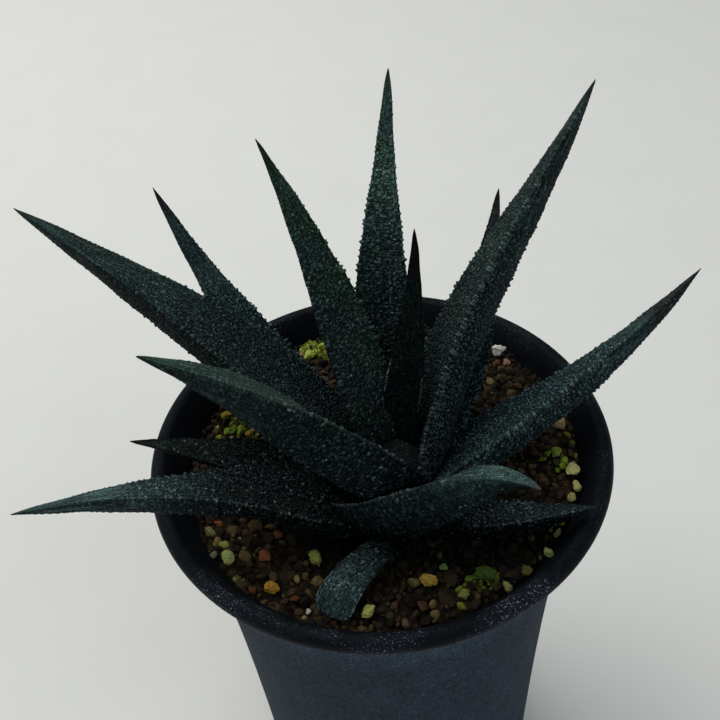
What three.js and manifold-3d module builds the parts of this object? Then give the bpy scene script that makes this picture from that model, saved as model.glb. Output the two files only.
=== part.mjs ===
// A small rough-leaved haworthia in a deep round nursery pot, in millimetres, +Z up.
// The origin is the centre of the pot's flat base.
import * as THREE from "three";
import { mergeVertices } from "three/addons/utils/BufferGeometryUtils.js";
import Module from "manifold-3d";

const wasm = await Module();
wasm.setup();

// Driving dimensions of the pot
const POT_HEIGHT = 115;
const RIM_RADIUS = 45;
const LIP_RADIUS = 1.8;
// Degrees round the rolled lip, from under its outer edge, over the top, to its inner edge
const LIP_ANGLES = [-60, -30, 0, 30, 60, 90, 130];
const FOOT_RADIUS = 32.5;
const WALL_THICKNESS = 1.4;
const BASE_THICKNESS = 1.6;
const POT_SIDES = 48;
// Outside of the wall, as depth below the rim and radius: coved under the lip, then two tapers
const WALL_OUTSIDE = [
  [3.6, 42.2],
  [5.2, 40.6],
  [8, 38.7],
  [18, 37.3],
  [54, 34.6],
];
// Inside of the wall, as depth below the rim and radius: it starts at the lip's inner edge
const WALL_INSIDE = [
  [1.5, 41.4],
  [8, 37.3],
  [18, 35.9],
  [54, 33.2],
];
const FOOT_ROUNDING = 1.2;
const DRAIN_HOLES = 6;
const DRAIN_HOLE_RADIUS = 4;
const DRAIN_CIRCLE_RADIUS = 22;
const DRAIN_HOLE_SIDES = 16;

// Driving dimensions of the soil bed: its top lies at a slight slope, higher on the right and at the back
const SOIL_DEPTH_BELOW_RIM = 5.3;
const SOIL_RISE_RIGHT = 0.05;
const SOIL_RISE_BACK = 0.02;
// Clearance between pieces that touch
const GAP = 0.3;
// A slab wider than the object, to part what lies over the soil from what lies under it
const SLAB_WIDTH = 140;
const SLAB_DEPTH = 40;

// Driving dimensions of the plant: its stem stands a little off the pot's axis, and heights on the
// plant are given from where its lowest leaves grow, just under the soil's surface
const STEM_X = 2.5;
const STEM_Y = -8.5;
const CROWN_HEIGHT = 108;
const STEM_FOOT_DEPTH = 14;
const STEM_PROFILE = [
  [2.2, -STEM_FOOT_DEPTH],
  [3.4, -STEM_FOOT_DEPTH + 3],
  [3.6, 0],
  [3.2, 4],
  [2.2, 7],
  [1.2, 8.5],
];
const STEM_SIDES = 16;

// Share of a leaf's largest width and thickness, against the share of its length from the base
const WIDTH_PROFILE = [
  [0, 1],
  [0.38, 0.97],
  [0.5, 0.84],
  [0.65, 0.58],
  [0.8, 0.34],
  [0.9, 0.19],
  [0.97, 0.09],
  [1, 0.01],
];
const THICKNESS_PROFILE = [
  [0, 0.6],
  [0.1, 0.75],
  [0.25, 0.95],
  [0.4, 1],
  [0.5, 0.95],
  [0.65, 0.77],
  [0.8, 0.5],
  [0.92, 0.24],
  [1, 0.02],
];
// The same for a withered leaf, which is narrowest halfway and has a blunt, flat end
const WITHERED_WIDTH = [
  [0, 0.75],
  [0.4, 0.65],
  [0.6, 0.72],
  [0.8, 0.92],
  [0.9, 1],
  [0.95, 0.85],
  [1, 0.3],
];
const WITHERED_THICKNESS = [
  [0, 0.9],
  [0.3, 1],
  [0.6, 0.8],
  [0.9, 0.5],
  [1, 0.2],
];
// Rings along a leaf, and faces across its upper side
const LEAF_STEPS = 15;
const FACE_STEPS = 6;
// The share of a leaf's length over which its base is troughed round the stem and may flare
const CLASP_LENGTH = 0.45;
const CLASP_FALL = 1.2;
const FLARE_FALL = 1.3;
// The upper face is slightly hollow at the base and turns crowned from the middle to the tip
const HOLLOW_AT_BASE = 0.03;
const CROWN_AT_TIP = 0.1;
const CROWN_START = 0.5;
// The back is round at the base and turns into a ridge
const KEEL_SHARPNESS = 0.6;
const KEEL_START = 0.12;
const KEEL_LENGTH = 0.4;

// Every leaf in the plant's own frame (the stem's axis at crown height), from the innermost outwards.
// base: azimuth in degrees, height and distance from the stem's axis. tip: x, y, z.
// near, far: how far the spine's two control points stand over the straight line and to its left.
// roll: degrees about the spine at the base, and twist: degrees more by the tip.
// keel: where the ridge of the back runs, from -1 (right margin) to 1 (left margin).
// flare: extra width at the base. clasp: how deeply the base is troughed round the stem.
const LEAVES = [
  { name: "leaf_05", base: [110, 8, 3], tip: [6.5, 18.5, 50], near: [0, -2], far: [0, -2], width: 6.8,
    thickness: 4.5, flare: 0.3, taper: 1.15 },
  { name: "leaf_03", base: [115, 13, 3], tip: [-20, 32, 62], near: [2, -1.5], far: [1, -2.3],
    width: 10, thickness: 6, taper: 1 },
  { name: "leaf_09", base: [275, 11, 5], tip: [-39.5, -6.5, 48], near: [8, 2], far: [8, 0], width: 14,
    thickness: 8, roll: 60, twist: -50 },
  { name: "leaf_04", base: [88, 9, 4], tip: [4.5, 46, 66], near: [0, 3.2], far: [0, 1.4], width: 12,
    thickness: 6, taper: 0.82 },
  { name: "leaf_06", base: [330, 2, 1], tip: [41, 39.5, 64], near: [-1, 12], far: [0, 3], width: 17,
    thickness: 8, roll: -42, taper: 0.82 },
  { name: "leaf_12", base: [250, 6, 6], tip: [22, -25.5, 31], near: [2, -3], far: [9, 2], width: 13.5,
    thickness: 7.5, roll: -40, twist: 30, keel: -0.3, flare: 0.6, clasp: 0.1 },
  { name: "leaf_01", base: [150, 6, 4], tip: [-68, 37.5, 48], near: [6, -5], far: [5, -1], width: 16,
    thickness: 8, roll: 18 },
  { name: "leaf_08", base: [15, 6, 4], tip: [57.4, 16.1, 38], near: [-6, 1.5], far: [-5, 0], width: 13,
    thickness: 5.8, roll: -25, keel: -0.3, flare: 0.35, taper: 0.7 },
  { name: "leaf_11", base: [220, 3, 6], tip: [-66.5, -13.5, 20], near: [10, 1], far: [7.5, -1],
    width: 17.5, thickness: 6, roll: 2, twist: 25, taper: 0.52 },
  { name: "leaf_07", base: [50, 5, 4], tip: [25, 43, 40], near: [-3, -5], far: [-2, -3], width: 11.5,
    thickness: 6, taper: 0.9 },
  { name: "leaf_02", base: [135, 4, 4], tip: [-43.3, 46.8, 44.2], near: [-4, 2.5], far: [-4, 2],
    width: 11.4, thickness: 5, taper: 0.95 },
  { name: "leaf_10", base: [170, 3.5, 5], tip: [-49.5, 6, 15], near: [2, 0], far: [2.5, 0],
    width: 10.5, thickness: 5 },
  { name: "leaf_13", base: [320, 3, 8], tip: [35.5, -13.5, 10], near: [0.5, -3], far: [0.5, -2],
    width: 11.5, thickness: 5.5, roll: -25 },
  { name: "leaf_14", base: [315, 2.5, 6], tip: [-13.5, -26.5, 1.5], near: [4, 5], far: [8, -1],
    width: 7.5, thickness: 4, withered: true },
];
const LEAF_DEFAULTS = {
  roll: 0,
  twist: 0,
  keel: 0.2,
  flare: 0,
  clasp: 0.1,
  taper: 1,
  withered: false,
};

// The larger stones that lie loose on the soil: place on it, half length and colour
const PEBBLES = [
  { name: "pebble_amber_left", at: [-21.2, -28.6], radius: 1.8, colour: 0xc08a2e },
  { name: "pebble_ochre_left", at: [-22.8, -21.2], radius: 1.3, colour: 0x9a5a2c },
  { name: "pebble_lime_left", at: [-13.4, -23], radius: 1.5, colour: 0x9ba244 },
  { name: "pebble_lime_front", at: [-4.2, -35], radius: 1.3, colour: 0xa9ad5e },
  { name: "pebble_amber_front", at: [7, -30], radius: 1.6, colour: 0xb09035 },
  { name: "pebble_moss", at: [17, -30.2], radius: 2.3, colour: 0x56622a },
  { name: "pebble_pale_left", at: [-29.4, -20.6], radius: 1.5, colour: 0xa7ae78 },
  { name: "pebble_pale_right", at: [36.2, -9], radius: 1.6, colour: 0xb5b06c },
  { name: "pebble_cream_right", at: [35.8, 2.6], radius: 1.4, colour: 0xa89060 },
  { name: "pebble_white_back", at: [27, 25], radius: 1.6, colour: 0xd2d0c2 },
];
const PEBBLE_SHAPE = [1.15, 0.9, 0.75];
// Radians that each pebble is turned from the one before it
const PEBBLE_TURN = 2.4;

const FINISHES = {
  pot: { colour: 0x26282f, roughness: 0.75 },
  soil: { colour: 0x4a3529, roughness: 0.95 },
  stem: { colour: 0x4b4a35, roughness: 0.9 },
  leaf: { colour: 0x22302c, roughness: 0.7 },
};
const PEBBLE_ROUGHNESS = 0.85;
const MERGE_DISTANCE = 1e-4;

const soilLevel = POT_HEIGHT - SOIL_DEPTH_BELOW_RIM;
const radians = THREE.MathUtils.degToRad;

// Height of the soil's surface over the pot's base
function soilHeight(x, y) {
  return soilLevel + SOIL_RISE_RIGHT * x + SOIL_RISE_BACK * y;
}

// Value at s on a line through [s, value] pairs
function along(profile, s) {
  const next = profile.findIndex(([at]) => at >= s);
  if (next <= 0) {
    return profile[Math.max(next, 0)][1];
  }
  const [s0, value0] = profile[next - 1];
  const [s1, value1] = profile[next];
  return value0 + ((value1 - value0) * (s - s0)) / (s1 - s0);
}

function toSolid(geometry) {
  const bare = geometry.clone();
  bare.deleteAttribute("normal");
  bare.deleteAttribute("uv");
  const merged = mergeVertices(bare, MERGE_DISTANCE);
  return new wasm.Manifold(new wasm.Mesh({
    numProp: 3,
    vertProperties: new Float32Array(merged.attributes.position.array),
    triVerts: new Uint32Array(merged.index.array),
  }));
}

function toGeometry(solid) {
  const mesh = solid.getMesh();
  const geometry = new THREE.BufferGeometry();
  geometry.setAttribute("position", new THREE.BufferAttribute(new Float32Array(mesh.vertProperties), 3));
  geometry.setIndex(new THREE.BufferAttribute(new Uint32Array(mesh.triVerts), 1));
  geometry.computeVertexNormals();
  return geometry;
}

function largestPiece(solid) {
  return solid.decompose().reduce((best, piece) => (piece.volume() > best.volume() ? piece : best));
}

function mesh(name, solid, { colour, roughness }) {
  const material = new THREE.MeshStandardMaterial({ color: colour, roughness, metalness: 0 });
  const piece = new THREE.Mesh(toGeometry(solid), material);
  piece.name = name;
  return piece;
}

// A profile of [radius, height] pairs that starts and ends on the axis, turned round +Z
function turned(profile, sides) {
  const points = profile.map(([radius, height]) => new THREE.Vector2(radius, height));
  return new THREE.LatheGeometry(points, sides).rotateX(Math.PI / 2);
}

// The wall's inside, from the floor of the pot up to the lip, drawn in by a clearance
function insideLine(clearance) {
  const floor = [POT_HEIGHT - BASE_THICKNESS - clearance, FOOT_RADIUS - WALL_THICKNESS];
  const line = [...WALL_INSIDE, floor].map(([depth, radius]) => [radius - clearance, POT_HEIGHT - depth]);
  return line.reverse();
}

function pot() {
  const outside = WALL_OUTSIDE.map(([depth, radius]) => [radius, POT_HEIGHT - depth]).reverse();
  const lipCentre = RIM_RADIUS - LIP_RADIUS;
  const lip = LIP_ANGLES.map((angle) => [
    lipCentre + LIP_RADIUS * Math.cos(radians(angle)),
    POT_HEIGHT - LIP_RADIUS + LIP_RADIUS * Math.sin(radians(angle)),
  ]);
  const inside = insideLine(0).reverse();
  const profile = [
    [0, 0],
    [FOOT_RADIUS - FOOT_ROUNDING, 0],
    [FOOT_RADIUS, FOOT_ROUNDING],
    ...outside,
    ...lip,
    ...inside,
    [0, BASE_THICKNESS],
  ];
  let solid = toSolid(turned(profile, POT_SIDES));
  for (let i = 0; i < DRAIN_HOLES; i += 1) {
    const angle = (i * 2 * Math.PI) / DRAIN_HOLES;
    const length = BASE_THICKNESS * 4;
    const hole = new THREE.CylinderGeometry(DRAIN_HOLE_RADIUS, DRAIN_HOLE_RADIUS, length, DRAIN_HOLE_SIDES);
    hole.rotateX(Math.PI / 2);
    hole.translate(DRAIN_CIRCLE_RADIUS * Math.cos(angle), DRAIN_CIRCLE_RADIUS * Math.sin(angle), 0);
    solid = solid.subtract(toSolid(hole));
  }
  return mesh("pot", solid, FINISHES.pot);
}

// The stem's outline, grown by a gap where it has to clear its neighbours
function stemSolid(grow) {
  const profile = STEM_PROFILE.map(([radius, height]) => [radius + grow, height]);
  const foot = [0, -STEM_FOOT_DEPTH - grow];
  const top = STEM_PROFILE.at(-1);
  profile[0][1] -= grow;
  profile[profile.length - 1] = [top[0] + grow, top[1] + grow];
  return toSolid(turned([foot, ...profile, [0, top[1] + grow]], STEM_SIDES));
}

// A wide slab whose sloping face is the soil's surface, raised by a gap: everything over it or under it
function soilSlab(raised, isOver) {
  const half = SLAB_DEPTH / 2;
  const slab = new THREE.BoxGeometry(SLAB_WIDTH, SLAB_WIDTH, SLAB_DEPTH);
  const corners = slab.attributes.position;
  for (let i = 0; i < corners.count; i += 1) {
    const surface = soilHeight(corners.getX(i), corners.getY(i)) + raised;
    const depth = isOver ? corners.getZ(i) + half : corners.getZ(i) - half;
    corners.setZ(i, surface + depth);
  }
  return toSolid(slab);
}

function soil() {
  const wall = insideLine(GAP);
  const floor = [0, wall[0][1]];
  const top = [0, wall.at(-1)[1]];
  const filled = toSolid(turned([floor, ...wall, top], POT_SIDES));
  const stemHole = stemSolid(GAP).translate([STEM_X, STEM_Y, CROWN_HEIGHT]);
  const solid = filled.subtract(soilSlab(0, true)).subtract(stemHole);
  return mesh("soil", solid, FINISHES.soil);
}

function pebble({ name, at: [x, y], radius, colour }, number) {
  const stone = new THREE.IcosahedronGeometry(radius, 1).scale(...PEBBLE_SHAPE);
  const piece = mesh(name, toSolid(stone), { colour, roughness: PEBBLE_ROUGHNESS });
  const slope = Math.hypot(SOIL_RISE_RIGHT, SOIL_RISE_BACK) * radius;
  piece.position.set(x, y, soilHeight(x, y) + GAP + slope + radius * PEBBLE_SHAPE[2]);
  piece.rotation.z = number * PEBBLE_TURN;
  return piece;
}

// Spine of a leaf: a cubic curve from the stem to the tip
function leafSpine(leaf) {
  const [azimuth, height, distance] = leaf.base;
  const base = new THREE.Vector3(
    distance * Math.cos(radians(azimuth)),
    distance * Math.sin(radians(azimuth)),
    height,
  );
  const tip = new THREE.Vector3(...leaf.tip);
  const chord = tip.clone().sub(base);
  const left = new THREE.Vector3(0, 0, 1).cross(chord).normalize();
  const over = chord.clone().cross(left).normalize();
  const control = (share, [lift, aside]) =>
    base.clone().addScaledVector(chord, share).addScaledVector(over, lift).addScaledVector(left, aside);
  const curve = new THREE.CubicBezierCurve3(base, control(1 / 3, leaf.near), control(2 / 3, leaf.far), tip);
  return { curve, left };
}

// Outline across a leaf: the upper face from the right margin to the left one, and back under the keel
function leafOutline(leaf, s, grow) {
  const widths = leaf.withered ? WITHERED_WIDTH : WIDTH_PROFILE;
  const thicknesses = leaf.withered ? WITHERED_THICKNESS : THICKNESS_PROFILE;
  const claspShare = Math.max(0, 1 - s / CLASP_LENGTH);
  const widthShare = along(widths, s ** leaf.taper) + leaf.flare * claspShare ** FLARE_FALL;
  const width = leaf.width * widthShare + 2 * grow;
  const thickness = leaf.thickness * along(thicknesses, s) + 2 * grow;
  const crown = CROWN_AT_TIP * Math.max(0, s - CROWN_START);
  const hollow = leaf.clasp * claspShare ** CLASP_FALL + HOLLOW_AT_BASE * (1 - s) - crown;
  const sharpness = KEEL_SHARPNESS * THREE.MathUtils.clamp((s - KEEL_START) / KEEL_LENGTH, 0, 1);
  const points = [];
  const faceHeight = (u) => grow - hollow * width * (1 - u * u);
  for (let i = 0; i <= FACE_STEPS; i += 1) {
    const u = (2 * i) / FACE_STEPS - 1;
    points.push([(u * width) / 2, faceHeight(u)]);
  }
  for (let i = FACE_STEPS - 1; i > 0; i -= 1) {
    const u = (2 * i) / FACE_STEPS - 1;
    const fromKeel = Math.abs(u - leaf.keel) / (u > leaf.keel ? 1 - leaf.keel : 1 + leaf.keel);
    const depth = sharpness * (1 - fromKeel) + (1 - sharpness) * Math.sqrt(1 - fromKeel ** 2);
    const trough = Math.min(0, faceHeight(u) - grow);
    points.push([(u * width) / 2, grow + trough - thickness * depth]);
  }
  return points;
}

function leafSolid(given, grow) {
  const leaf = { ...LEAF_DEFAULTS, ...given };
  const { curve, left } = leafSpine(leaf);
  const positions = [];
  const index = [];
  const ringSize = 2 * FACE_STEPS;
  for (let step = 0; step < LEAF_STEPS; step += 1) {
    const s = step / LEAF_STEPS;
    const centre = curve.getPoint(s);
    const forward = curve.getTangent(s);
    const across = left.clone().addScaledVector(forward, -left.dot(forward)).normalize();
    const normal = forward.clone().cross(across);
    const angle = radians(leaf.roll + leaf.twist * s);
    across.applyAxisAngle(forward, angle);
    normal.applyAxisAngle(forward, angle);
    if (step === 0) {
      centre.addScaledVector(forward, -grow);
    }
    for (const [x, y] of leafOutline(leaf, s, grow)) {
      const point = centre.clone().addScaledVector(across, x).addScaledVector(normal, y);
      positions.push(point.x, point.y, point.z);
    }
  }
  const tip = curve.getPoint(1).addScaledVector(curve.getTangent(1), grow);
  positions.push(tip.x, tip.y, tip.z);
  const tipIndex = LEAF_STEPS * ringSize;
  for (let i = 0; i < ringSize; i += 1) {
    const next = (i + 1) % ringSize;
    for (let step = 0; step < LEAF_STEPS - 1; step += 1) {
      const here = step * ringSize;
      const ahead = here + ringSize;
      index.push(here + i, ahead + next, here + next, here + i, ahead + i, ahead + next);
    }
    const last = tipIndex - ringSize;
    index.push(last + i, tipIndex, last + next);
  }
  for (let i = 1; i < ringSize / 2; i += 1) {
    const back = ringSize - i;
    index.push(i - 1, i, (back + 1) % ringSize);
    index.push(i, back, (back + 1) % ringSize);
  }
  index.push(ringSize / 2 - 1, ringSize / 2, ringSize / 2 + 1);
  const geometry = new THREE.BufferGeometry();
  geometry.setAttribute("position", new THREE.BufferAttribute(new Float32Array(positions), 3));
  geometry.setIndex(index);
  return toSolid(geometry);
}

// Each leaf is cut back where the stem, the soil and the leaves inside it already are
function leaves() {
  const ground = soilSlab(GAP, false).translate([-STEM_X, -STEM_Y, -CROWN_HEIGHT]);
  let taken = stemSolid(GAP).add(ground);
  return LEAVES.map((leaf) => {
    const solid = largestPiece(leafSolid(leaf, 0).subtract(taken));
    taken = taken.add(leafSolid(leaf, GAP));
    return mesh(leaf.name, solid, FINISHES.leaf);
  });
}

const plant = new THREE.Group();
plant.position.set(STEM_X, STEM_Y, CROWN_HEIGHT);
plant.add(mesh("stem", stemSolid(0), FINISHES.stem));
plant.add(...leaves());

const potted = new THREE.Group();
potted.add(pot(), soil(), plant, ...PEBBLES.map(pebble));

export default potted;
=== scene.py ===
# Looks of a small rough-leaved haworthia in a deep round nursery pot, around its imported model.
# Shapes are worked out in millimetres in the model's own frame, and scaled to metres as they become meshes.
import math

import bmesh
import bpy
import numpy as np
from mathutils import Matrix, Vector
from mathutils.bvhtree import BVHTree
from mathutils.kdtree import KDTree


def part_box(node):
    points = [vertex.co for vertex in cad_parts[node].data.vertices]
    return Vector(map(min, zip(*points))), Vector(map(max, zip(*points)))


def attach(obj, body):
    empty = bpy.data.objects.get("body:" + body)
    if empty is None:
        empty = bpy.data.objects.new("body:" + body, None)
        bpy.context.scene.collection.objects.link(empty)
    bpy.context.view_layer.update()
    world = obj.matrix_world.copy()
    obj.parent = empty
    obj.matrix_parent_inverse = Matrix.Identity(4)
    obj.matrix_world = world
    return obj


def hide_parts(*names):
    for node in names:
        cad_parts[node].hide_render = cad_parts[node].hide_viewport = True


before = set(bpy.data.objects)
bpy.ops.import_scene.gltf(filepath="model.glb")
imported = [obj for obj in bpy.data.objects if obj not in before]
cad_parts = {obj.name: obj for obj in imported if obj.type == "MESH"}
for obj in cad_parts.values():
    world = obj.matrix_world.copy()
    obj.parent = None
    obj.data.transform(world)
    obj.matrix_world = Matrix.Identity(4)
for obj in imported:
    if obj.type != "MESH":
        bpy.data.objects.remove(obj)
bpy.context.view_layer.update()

MM = 0.001
ATTRIBUTE_KINDS = {1: ("FLOAT", "value"), 3: ("FLOAT_VECTOR", "vector"), 4: ("FLOAT_COLOR", "color")}


def node_box(node):
    """A node's lowest and highest corners."""
    return [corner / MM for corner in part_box(node)]


# Camera: its place, how far it looks down, and how far it is turned and rolled, in degrees
CAMERA_PLACE = (0, -130.4, 261.7)
CAMERA_PITCH = -43.7
CAMERA_TURN = 1
CAMERA_ROLL = -5.15
CAMERA_LENS = 50
CAMERA_SENSOR = 36

# Surroundings, in metres: each light's name, place, size, power and colour
LIGHTS = [("key", (-0.4, 0.35, 0.95), 1.3, 10.2, (1, 0.99, 0.95)),
          ("fill", (0.65, -0.6, 0.8), 1, 2.6, (0.94, 0.98, 1))]
LIGHT_TARGET = (0, 0, 0.12)
SKY_COLOUR = (0.85, 0.9, 1, 1)
SKY_STRENGTH = 0.22
FLOOR_HALF = 2

# Pot: its height and rim come from the frame. The wall's lines hold depths below the rim and radii there
RIM_RADIUS, _, POT_HEIGHT = node_box("pot")[1]
LIP_RADIUS = 1.8
LIP_START = -60
LIP_END = 130
LIP_STEPS = 16
LIP_DEPTH = 3.3
FOOT_RADIUS = 32.5
FOOT_ROUNDING = 1.2
WALL_THICKNESS = 1.4
BASE_THICKNESS = 1.6
WALL_OUTSIDE = [(3.6, 42.2), (5.2, 40.6), (8, 38.7), (18, 37.3), (54, 34.6)]
WALL_INSIDE = [(1.5, 41.4), (8, 37.3), (18, 35.9), (54, 33.2)]
WALL_STEP = 3
POT_SIDES = 144
DRAIN_HOLES = 6
DRAIN_HOLE_RADIUS = 4
DRAIN_CIRCLE_RADIUS = 22
DRAIN_HOLE_SIDES = 40
SLIVER = 0.01

# Soil's bed: its surface slopes slightly, with lumps over it, and sinks at the pot's wall
SOIL_DEPTH_BELOW_RIM = 5.3
SOIL_RISE_RIGHT = 0.05
SOIL_RISE_BACK = 0.02
SOIL_GAP = 0.3
BED_COLOUR = "1b130e"
BED_STEP = 0.7
BED_SIDE_STEP = 8
BED_SIDE_DEPTH = 3
BED_SINK = 0.9
BED_EDGE_SINK = 0.8
BED_EDGE_WIDTH = 1
LUMP_SPACING = 1.5
LUMP_RADII = (0.8, 1.5)
LUMP_RISE = 0.7
LUMP_SHADE = 0.5
BED_SEED = 7

# Grains: half lengths, with how many of each are wanted, and how high they lie over the surface
GRAIN_SIZES = [(1.45, 30), (1.15, 240), (0.85, 1100), (0.6, 2600), (0.4, 4000)]
GRAIN_TRIES = 4
GRAIN_SPREAD = (0.85, 1.15)
GRAIN_LEVELS = (-0.5, 0.55)
GRAIN_OVERLAP = 0.8
GRAIN_CLEARANCE = 0.75
CLEAR_REACH = 3
CRUMB_SIZE = 0.65
GRAIN_STYLES = 16
GRAIN_SEED = 21
CLAY_TINTS = {"15110c": 0.13, "211a12": 0.18, "2b2218": 0.2, "372c1e": 0.18, "453826": 0.12, "584a2e": 0.07,
              "736640": 0.03, "34341f": 0.05, "3d2a1c": 0.04}

# Painted shade: the soil is painted darker near the stem and under the low leaves, where their shadow falls
PAINTED_SHADE_FROM = 26
PAINTED_SHADE_TO = 15
PAINTED_SHADE_LEVEL = 0.2
SHADING_LEAVES = ["leaf_10", "leaf_11", "leaf_12", "leaf_13"]
LEAF_SHADE_FROM = 11
LEAF_SHADE_TO = 4

# Moss: patches of mossy grains, as a place, a reach and the share of grains at its middle, and cushions,
# as a place, a reach, a rise, the number of crumbs and how light they are
MOSS_TINTS = ["7f9430", "5f7422", "a3b455", "6d6a26"]
MOSS_PATCHES = [(-12.5, 33.5, 4, 0.9), (-30, 12, 6, 0.5), (-27, -22, 5, 0.25), (31.5, -19, 6, 0.35),
                (35, -4, 6, 0.45), (14, -31.5, 5, 0.3)]
CUSHIONS = [(-13.6, 33.6, 1.9, 1, 80, 1.2), (-11.4, 32, 1.8, 1.3, 80, 1.2), (-10, 29.6, 1.2, 0.6, 30, 0.8),
            (-29.5, 13.5, 1.6, 0.6, 40, 0.4), (-25.5, 10, 1.4, 0.6, 30, 0.5)]
MOUND = (1.4, 90, 0.45)

# Coloured stones that are part of the loose surface: place, half length and colour
STONES = [
    (-30.5, -17.5, 1.1, "94964f"), (-33.4, -14, 1.2, "77734a"), (-31.8, -12.2, 1.1, "7d4d2a"),
    (-32.6, -19.2, 0.9, "74836b"), (20.4, -32.6, 1.2, "7f8449"), (28.8, -26.5, 1.2, "8a9a58"),
    (31, -22.4, 1.1, "75864b"), (36.4, -12.6, 1.3, "a5a368"), (35, -15, 1.1, "8f8650"),
    (-8.2, 34.2, 1.2, "6d5331"), (0.6, -33.8, 1, "4f3624"), (5.4, -34.6, 1.2, "452e20"),
    (-14.8, -33.2, 0.6, "c9c7bd"), (-26.4, 9.7, 1.2, "8d742a"), (-31.6, 15.6, 1.3, "8f7f2c"),
    (28.4, 21.8, 1, "946c5a"), (26.2, 22, 1.1, "5f432c"), (9.8, -27, 0.9, "667f42"),
    (34.4, 6, 1.2, "9c8f54"), (-24.8, -27.6, 1.1, "5f3824"), (-17.2, -30.4, 1, "5a331f"),
    (24.4, -29.6, 1.3, "55512b"), (12.6, -33.2, 1.1, "73773f"), (-20.2, -16.2, 1.2, "6b4026"),
]

# Pebbles: each node's colour, and how much of its node's box a stone fills where it isn't all of it
PEBBLE_COLOURS = {
    "pebble_amber_left": "b08434", "pebble_ochre_left": "7f4c2a", "pebble_lime_left": "8d9447",
    "pebble_lime_front": "a3a65c", "pebble_amber_front": "a88c3e", "pebble_moss": "3c521c",
    "pebble_pale_left": "a3ad68", "pebble_pale_right": "b1ad70", "pebble_cream_right": "9a8760",
    "pebble_white_back": "d6d4c6",
}
PEBBLE_FIT = {"pebble_amber_left": (0.72, 0.8, 1), "pebble_moss": (0.9, 0.7, 0.8)}
PEBBLE_SEED = 300

# Crown of the plant: a turned outline of (radius, height) points, ridged and leaning
STEM_PLACE = np.array([2.5, -8.5, 108])
CROWN_PROFILE = [(3.6, 0), (4.4, 4), (5.6, 7), (6, 9), (5.2, 10.6), (2.6, 11.6)]
CROWN_TOP = 11.7
CROWN_STEP = 0.35
CROWN_LEAN = (1.6, 3)
CROWN_LEAN_HEIGHT = 9
CROWN_RELIEF = 0.06
CROWN_SIDES = 96

# Leaves: shares of the full width and thickness at shares of the length
WIDTH_PROFILE = [(0, 1), (0.38, 0.97), (0.5, 0.84), (0.65, 0.58), (0.8, 0.34), (0.9, 0.19), (0.97, 0.09),
                 (1, 0.01)]
THICKNESS_PROFILE = [(0, 0.6), (0.1, 0.75), (0.25, 0.95), (0.4, 1), (0.5, 0.95), (0.65, 0.77), (0.8, 0.5),
                     (0.92, 0.24), (1, 0.02)]
WITHERED_WIDTH = [(0, 0.75), (0.4, 0.7), (0.6, 0.8), (0.8, 0.95), (0.9, 1.02), (0.96, 1), (1, 0.6)]
WITHERED_THICKNESS = [(0, 0.9), (0.3, 1), (0.6, 0.8), (0.9, 0.5), (1, 0.2)]
CLASP_LENGTH = 0.45
CLASP_FALL = 1.2
FLARE_FALL = 1.3
HOLLOW_AT_BASE = 0.03
CROWN_AT_TIP = 0.1
CROWN_START = 0.5
KEEL_SHARPNESS = 0.6
KEEL_START = 0.12
KEEL_LENGTH = 0.4
SPINE_SAMPLES = 400
ACROSS_SAMPLES = 81
LEAF_SEED = 100

# Every leaf in the plant's own frame, with the same meaning as in the model:
# base: azimuth in degrees, height and distance from the stem's axis. tip: x, y, z.
# near, far: how far the spine's two control points stand over the straight line and to its left.
LEAF_DEFAULTS = dict(roll=0, twist=0, keel=0.2, flare=0, clasp=0.1, taper=1, withered=False)
LEAVES = {
    "leaf_01": dict(base=(150, 6, 4), tip=(-68, 37.5, 48), near=(6, -5), far=(5, -1), width=16,
                    thickness=8, roll=18),
    "leaf_02": dict(base=(135, 4, 4), tip=(-43.3, 46.8, 44.2), near=(-4, 2.5), far=(-4, 2), width=11.4,
                    thickness=5, taper=0.95),
    "leaf_03": dict(base=(115, 13, 3), tip=(-20, 32, 62), near=(2, -1.5), far=(1, -2.3), width=10,
                    thickness=6),
    "leaf_04": dict(base=(88, 9, 4), tip=(4.5, 46, 66), near=(0, 3.2), far=(0, 1.4), width=12,
                    thickness=6, taper=0.82),
    "leaf_05": dict(base=(110, 8, 3), tip=(6.5, 18.5, 50), near=(0, -2), far=(0, -2), width=6.8,
                    thickness=4.5, flare=0.3, taper=1.15),
    "leaf_06": dict(base=(330, 2, 1), tip=(41, 39.5, 64), near=(-1, 12), far=(0, 3), width=17,
                    thickness=8, roll=-42, taper=0.77),
    "leaf_07": dict(base=(50, 5, 4), tip=(25, 43, 40), near=(-3, -5), far=(-2, -3), width=11.5,
                    thickness=6, taper=0.9),
    "leaf_08": dict(base=(15, 6, 4), tip=(57.4, 16.1, 38), near=(-6, 1.5), far=(-5, 0), width=13,
                    thickness=5.8, roll=-25, keel=-0.3, flare=0.35, taper=0.62),
    "leaf_09": dict(base=(275, 11, 5), tip=(-39.5, -6.5, 48), near=(8, 2), far=(8, 0), width=14,
                    thickness=8, roll=60, twist=-50),
    "leaf_10": dict(base=(170, 3.5, 5), tip=(-49.5, 6, 15), near=(2, 0), far=(2.5, 0), width=10.5,
                    thickness=5),
    "leaf_11": dict(base=(220, 3, 6), tip=(-66.5, -13.5, 20), near=(10, 1), far=(7.5, -1), width=17.5,
                    thickness=6, roll=2, twist=25, taper=0.52),
    "leaf_12": dict(base=(250, 6, 6), tip=(22, -25.5, 31), near=(2, -3), far=(9, 2), width=13.5,
                    thickness=7.5, roll=-40, twist=30, keel=-0.3, flare=0.6),
    "leaf_13": dict(base=(320, 3, 8), tip=(35.5, -13.5, 10), near=(0.5, -3), far=(0.5, -2), width=11.5,
                    thickness=5.5, roll=-25),
    "leaf_14": dict(base=(315, 2.5, 6), tip=(-13.5, -26.5, 1.5), near=(4, 5), far=(8, -1), width=7.5,
                    thickness=4, withered=True),
}
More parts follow.
